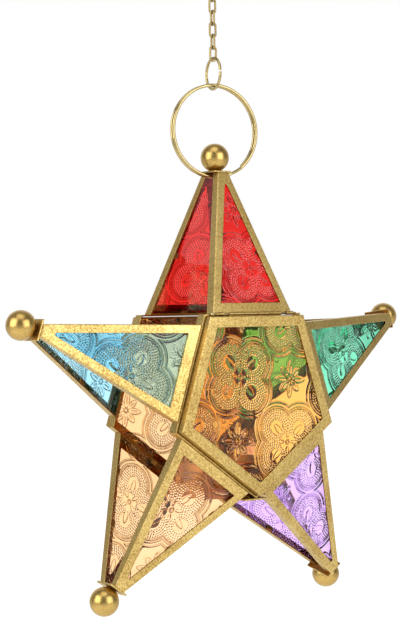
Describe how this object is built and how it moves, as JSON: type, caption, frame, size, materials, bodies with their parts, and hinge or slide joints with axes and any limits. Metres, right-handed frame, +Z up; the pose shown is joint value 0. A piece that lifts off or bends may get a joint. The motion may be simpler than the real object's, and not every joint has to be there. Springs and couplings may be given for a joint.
{
  "type": "star lantern",
  "caption": "Hanging star lantern with coloured pressed glass in sheet metal trays, ball tips, a hinged pentagonal door, a tea light cup, a split ring and a chain.",
  "frame": {"origin": "the point inside the top hook that bears on whatever carries the lantern, straight above the star's centre", "axes": "+X to the right seen from the door, +Y from the door to the back, +Z up"},
  "size_m": [0.2208, 0.061, 0.3135],
  "materials": {
    "frame": "antique gold, satin, slightly pitted sheet",
    "cup": "satin antique gold",
    "balls": "soft satin",
    "wire": "polished drawn wire",
    "chain": "polished drawn wire",
    "glass_amber": "pressed, clear, amber",
    "glass_peach": "pressed, clear, peach",
    "glass_red": "pressed, clear, red",
    "glass_green": "pressed, clear, sea green",
    "glass_lilac": "pressed, clear, lilac",
    "glass_blue": "pressed, clear, light blue"
  },
  "bodies": {
    "hook": {"top_hook": "wire"},
    "link_01": {"chain_link_01": "chain"},
    "link_02": {"chain_link_02": "chain"},
    "link_03": {"chain_link_03": "chain"},
    "link_04": {"chain_link_04": "chain"},
    "link_05": {"chain_link_05": "chain"},
    "link_06": {"chain_link_06": "chain"},
    "link_07": {"chain_link_07": "chain"},
    "link_08": {"chain_link_08": "chain"},
    "jump_ring": {"jump_ring": "wire"},
    "suspension_ring": {"suspension_ring": "wire"},
    "door": {"door_frame": "frame", "door_glass": "glass_amber"},
    "lantern": {"front_ring": "frame", "back_ring": "frame", "back_cover_frame": "frame", "cup_strap": "frame", "top_arm_front_frame": "frame", "top_arm_back_frame": "frame", "top_tip_plate": "frame", "right_arm_front_frame": "frame", "right_arm_back_frame": "frame", "right_tip_plate": "frame", "lower_right_arm_front_frame": "frame", "lower_right_arm_back_frame": "frame", "lower_right_tip_plate": "frame", "lower_left_arm_front_frame": "frame", "lower_left_arm_back_frame": "frame", "lower_left_tip_plate": "frame", "left_arm_front_frame": "frame", "left_arm_back_frame": "frame", "left_tip_plate": "frame", "candle_cup": "cup", "top_tip_ball": "balls", "right_tip_ball": "balls", "lower_right_tip_ball": "balls", "lower_left_tip_ball": "balls", "left_tip_ball": "balls", "hinge_pin": "wire", "back_cover_glass": "glass_peach", "lower_left_arm_front_glass": "glass_peach", "lower_left_arm_back_glass": "glass_peach", "top_arm_front_glass": "glass_red", "top_arm_back_glass": "glass_red", "right_arm_front_glass": "glass_green", "right_arm_back_glass": "glass_green", "lower_right_arm_front_glass": "glass_lilac", "lower_right_arm_back_glass": "glass_lilac", "left_arm_front_glass": "glass_blue", "left_arm_back_glass": "glass_blue"}
  },
  "joints": [
    {"name": "link_01_swing", "type": "hinge", "parent": "hook", "child": "link_01", "pos_m": [0, 0, -0.0204], "axis": [0.9848, -0.1736, 0], "range_deg": [-30, 30]},
    {"name": "link_02_swing", "type": "hinge", "parent": "link_01", "child": "link_02", "pos_m": [0, 0, -0.02555], "axis": [0.1736, 0.9848, 0], "range_deg": [-30, 30]},
    {"name": "link_03_swing", "type": "hinge", "parent": "link_02", "child": "link_03", "pos_m": [0, 0, -0.031], "axis": [0.9848, -0.1736, 0], "range_deg": [-30, 30]},
    {"name": "link_04_swing", "type": "hinge", "parent": "link_03", "child": "link_04", "pos_m": [0, 0, -0.03645], "axis": [0.1736, 0.9848, 0], "range_deg": [-30, 30]},
    {"name": "link_05_swing", "type": "hinge", "parent": "link_04", "child": "link_05", "pos_m": [0, 0, -0.0419], "axis": [0.9848, -0.1736, 0], "range_deg": [-30, 30]},
    {"name": "link_06_swing", "type": "hinge", "parent": "link_05", "child": "link_06", "pos_m": [0, 0, -0.04735], "axis": [0.1736, 0.9848, 0], "range_deg": [-30, 30]},
    {"name": "link_07_swing", "type": "hinge", "parent": "link_06", "child": "link_07", "pos_m": [0, 0, -0.0528], "axis": [0.9848, -0.1736, 0], "range_deg": [-30, 30]},
    {"name": "link_08_swing", "type": "hinge", "parent": "link_07", "child": "link_08", "pos_m": [0, 0, -0.05825], "axis": [0.1736, 0.9848, 0], "range_deg": [-30, 30]},
    {"name": "jump_ring_swing", "type": "hinge", "parent": "link_08", "child": "jump_ring", "pos_m": [0, 0, -0.0637], "axis": [0.9848, -0.1736, 0], "range_deg": [-30, 30]},
    {"name": "suspension_ring_swing", "type": "hinge", "parent": "jump_ring", "child": "suspension_ring", "pos_m": [0, 0, -0.0766], "axis": [0.1736, 0.9848, 0], "range_deg": [-30, 30]},
    {"name": "lantern_swing", "type": "hinge", "parent": "suspension_ring", "child": "lantern", "pos_m": [0, 0, -0.11686], "axis": [0.9848, -0.1736, 0], "range_deg": [-20, 20]},
    {"name": "door_hinge", "type": "hinge", "parent": "lantern", "child": "door", "pos_m": [0, -0.0281, -0.17938], "axis": [-1, 0, 0], "range_deg": [0, 110]}
  ]
}
